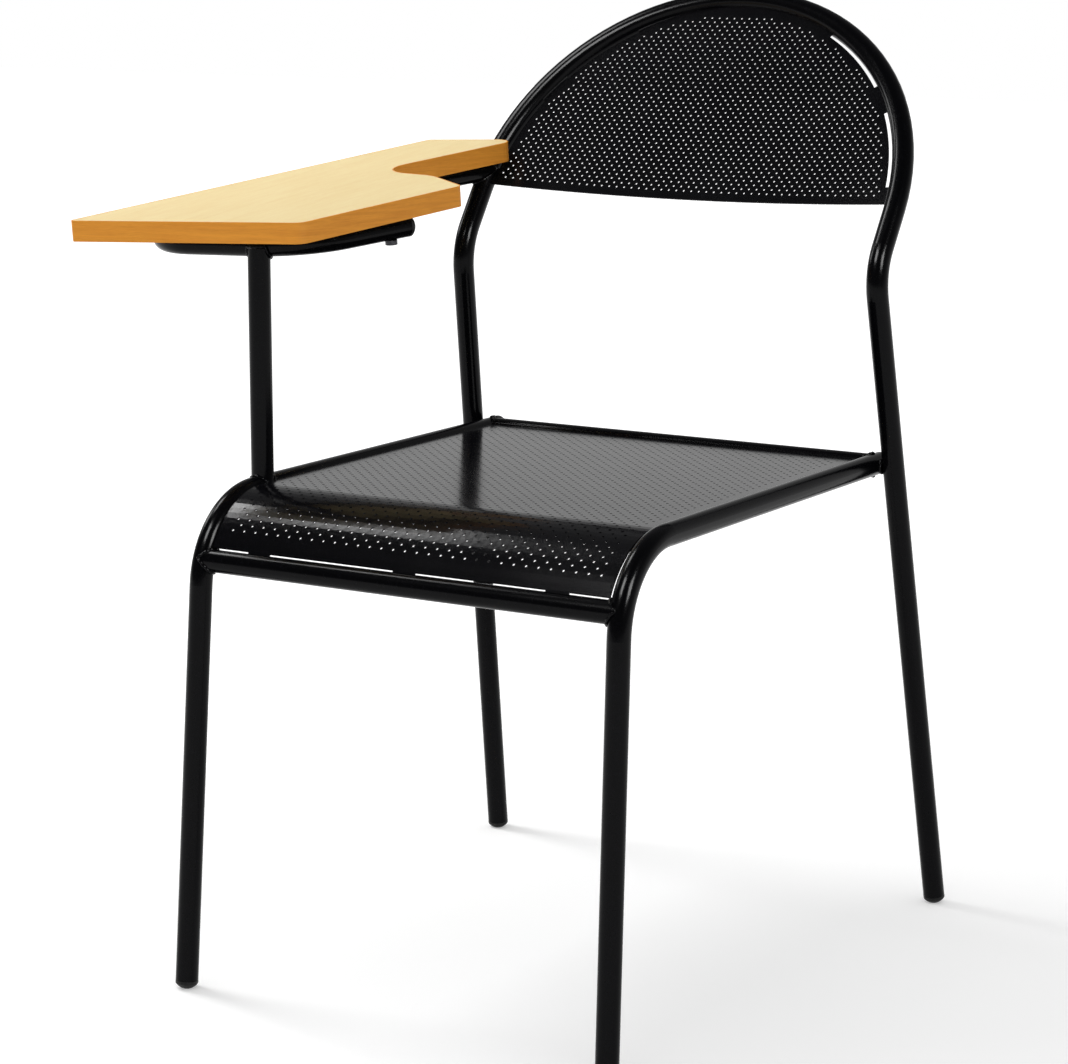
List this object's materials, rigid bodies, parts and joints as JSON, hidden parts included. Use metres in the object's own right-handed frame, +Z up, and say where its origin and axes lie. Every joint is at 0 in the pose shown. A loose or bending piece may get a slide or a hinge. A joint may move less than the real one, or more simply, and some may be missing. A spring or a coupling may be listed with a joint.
{
  "type": "tablet arm chair",
  "caption": "Steel tube chair with a perforated sheet seat and back and a fixed laminated writing tablet on the sitter's right side.",
  "frame": {"origin": "on the floor, in the chair's centre plane, below the back tubes at the height of the seat rails", "axes": "+Z up, -Y the way the sitter faces, +X to the sitter's left; the writing tablet is on the -X side"},
  "size_m": [0.6079, 0.6458, 0.8529],
  "materials": {
    "frame_paint": "semi-gloss black paint",
    "sheet_paint": "semi-gloss black paint on perforated sheet",
    "board_core": "raw particle board",
    "board_laminate": "satin pale maple laminate",
    "board_edge": "satin orange-brown edge band",
    "plug_plastic": "moulded black plastic",
    "screw_steel": "blackened steel"
  },
  "bodies": {
    "root": {"left_side_tube": "frame_paint", "right_side_tube": "frame_paint", "back_frame_tube": "frame_paint", "front_cross_tube": "frame_paint", "rear_cross_tube": "frame_paint", "seat_panel": "sheet_paint", "back_panel": "sheet_paint", "tablet_post": "frame_paint", "tablet_support_tube": "frame_paint", "writing_board_core": "board_core", "top_laminate": "board_laminate", "bottom_laminate": "board_laminate", "edge_band": "board_edge", "board_screws": "screw_steel", "front_left_foot": "plug_plastic", "front_right_foot": "plug_plastic", "rear_left_foot": "plug_plastic", "rear_right_foot": "plug_plastic", "left_rail_plug": "plug_plastic", "right_rail_plug": "plug_plastic", "support_tube_plug": "plug_plastic"}
  },
  "joints": []
}
